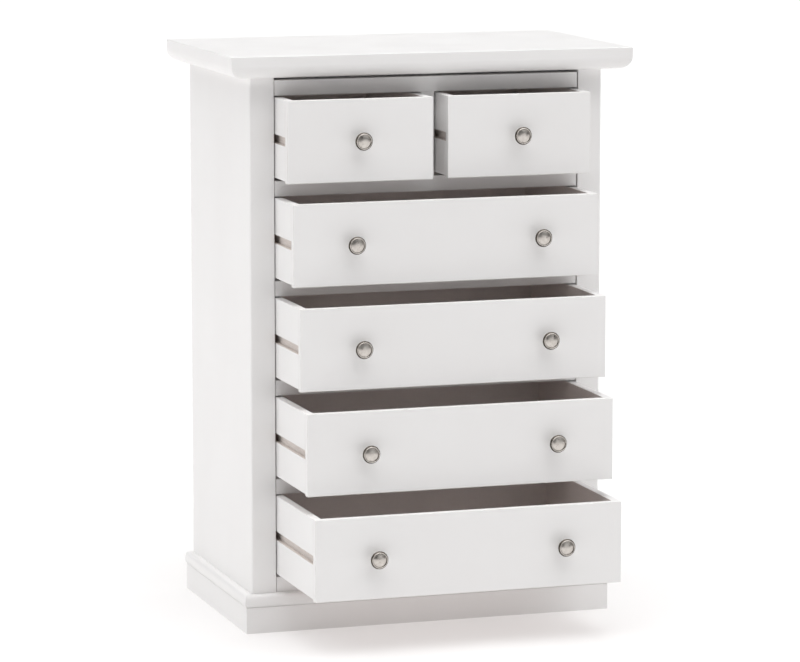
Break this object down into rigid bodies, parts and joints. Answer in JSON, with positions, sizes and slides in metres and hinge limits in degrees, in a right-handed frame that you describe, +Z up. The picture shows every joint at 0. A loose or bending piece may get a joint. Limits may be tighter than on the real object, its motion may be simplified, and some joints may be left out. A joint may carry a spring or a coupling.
{
  "type": "chest of drawers",
  "caption": "White painted wooden chest of small drawers over wide ones, with a thick round-edged top, a moulded plinth, satin nickel knobs and drawers that slide on wooden runners.",
  "frame": {"origin": "on the floor, in the middle of the box taken up by the chest and its drawers as they are stored, partly pulled out", "axes": "+Z up; the drawer fronts face -Y; +X is the viewer's right when facing the fronts"},
  "size_m": [0.8, 0.709, 1.105],
  "materials": {
    "white_paint": "satin white paint over wood",
    "drawer_inside": "matt pale beige foil on board",
    "back_board": "matt white-faced hardboard",
    "runner_wood": "planed unpainted beech",
    "knob_metal": "satin nickel plate"
  },
  "bodies": {
    "carcass": {"top_board": "white_paint", "left_side_panel": "white_paint", "right_side_panel": "white_paint", "left_front_post": "white_paint", "right_front_post": "white_paint", "front_rail_1": "white_paint", "front_rail_2": "white_paint", "front_rail_3": "white_paint", "front_rail_4": "white_paint", "front_rail_5": "white_paint", "front_rail_6": "white_paint", "centre_partition": "white_paint", "back_panel": "back_board", "plinth_front": "white_paint", "plinth_left": "white_paint", "plinth_right": "white_paint", "left_runner_frame": "runner_wood", "right_runner_frame": "runner_wood", "left_partition_runner": "runner_wood", "right_partition_runner": "runner_wood"},
    "upper_left_drawer": {"upper_left_drawer_front": "white_paint", "upper_left_drawer_left_side": "white_paint", "upper_left_drawer_right_side": "white_paint", "upper_left_drawer_back": "drawer_inside", "upper_left_drawer_base": "drawer_inside", "upper_left_drawer_knob": "knob_metal"},
    "upper_right_drawer": {"upper_right_drawer_front": "white_paint", "upper_right_drawer_left_side": "white_paint", "upper_right_drawer_right_side": "white_paint", "upper_right_drawer_back": "drawer_inside", "upper_right_drawer_base": "drawer_inside", "upper_right_drawer_knob": "knob_metal"},
    "second_drawer": {"second_drawer_front": "white_paint", "second_drawer_left_side": "white_paint", "second_drawer_right_side": "white_paint", "second_drawer_back": "drawer_inside", "second_drawer_base": "drawer_inside", "second_drawer_left_knob": "knob_metal", "second_drawer_right_knob": "knob_metal"},
    "third_drawer": {"third_drawer_front": "white_paint", "third_drawer_left_side": "white_paint", "third_drawer_right_side": "white_paint", "third_drawer_back": "drawer_inside", "third_drawer_base": "drawer_inside", "third_drawer_left_knob": "knob_metal", "third_drawer_right_knob": "knob_metal"},
    "fourth_drawer": {"fourth_drawer_front": "white_paint", "fourth_drawer_left_side": "white_paint", "fourth_drawer_right_side": "white_paint", "fourth_drawer_back": "drawer_inside", "fourth_drawer_base": "drawer_inside", "fourth_drawer_left_knob": "knob_metal", "fourth_drawer_right_knob": "knob_metal"},
    "lowest_drawer": {"lowest_drawer_front": "white_paint", "lowest_drawer_left_side": "white_paint", "lowest_drawer_right_side": "white_paint", "lowest_drawer_back": "drawer_inside", "lowest_drawer_base": "drawer_inside", "lowest_drawer_left_knob": "knob_metal", "lowest_drawer_right_knob": "knob_metal"}
  },
  "joints": [
    {"name": "upper_left_drawer_slide", "type": "slide", "parent": "carcass", "child": "upper_left_drawer", "axis": [0, -1, 0], "range_m": [-0.081, 0.219]},
    {"name": "upper_right_drawer_slide", "type": "slide", "parent": "carcass", "child": "upper_right_drawer", "axis": [0, -1, 0], "range_m": [-0.073, 0.227]},
    {"name": "second_drawer_slide", "type": "slide", "parent": "carcass", "child": "second_drawer", "axis": [0, -1, 0], "range_m": [-0.119, 0.181]},
    {"name": "third_drawer_slide", "type": "slide", "parent": "carcass", "child": "third_drawer", "axis": [0, -1, 0], "range_m": [-0.163, 0.137]},
    {"name": "fourth_drawer_slide", "type": "slide", "parent": "carcass", "child": "fourth_drawer", "axis": [0, -1, 0], "range_m": [-0.205, 0.095]},
    {"name": "lowest_drawer_slide", "type": "slide", "parent": "carcass", "child": "lowest_drawer", "axis": [0, -1, 0], "range_m": [-0.254, 0.046]}
  ]
}
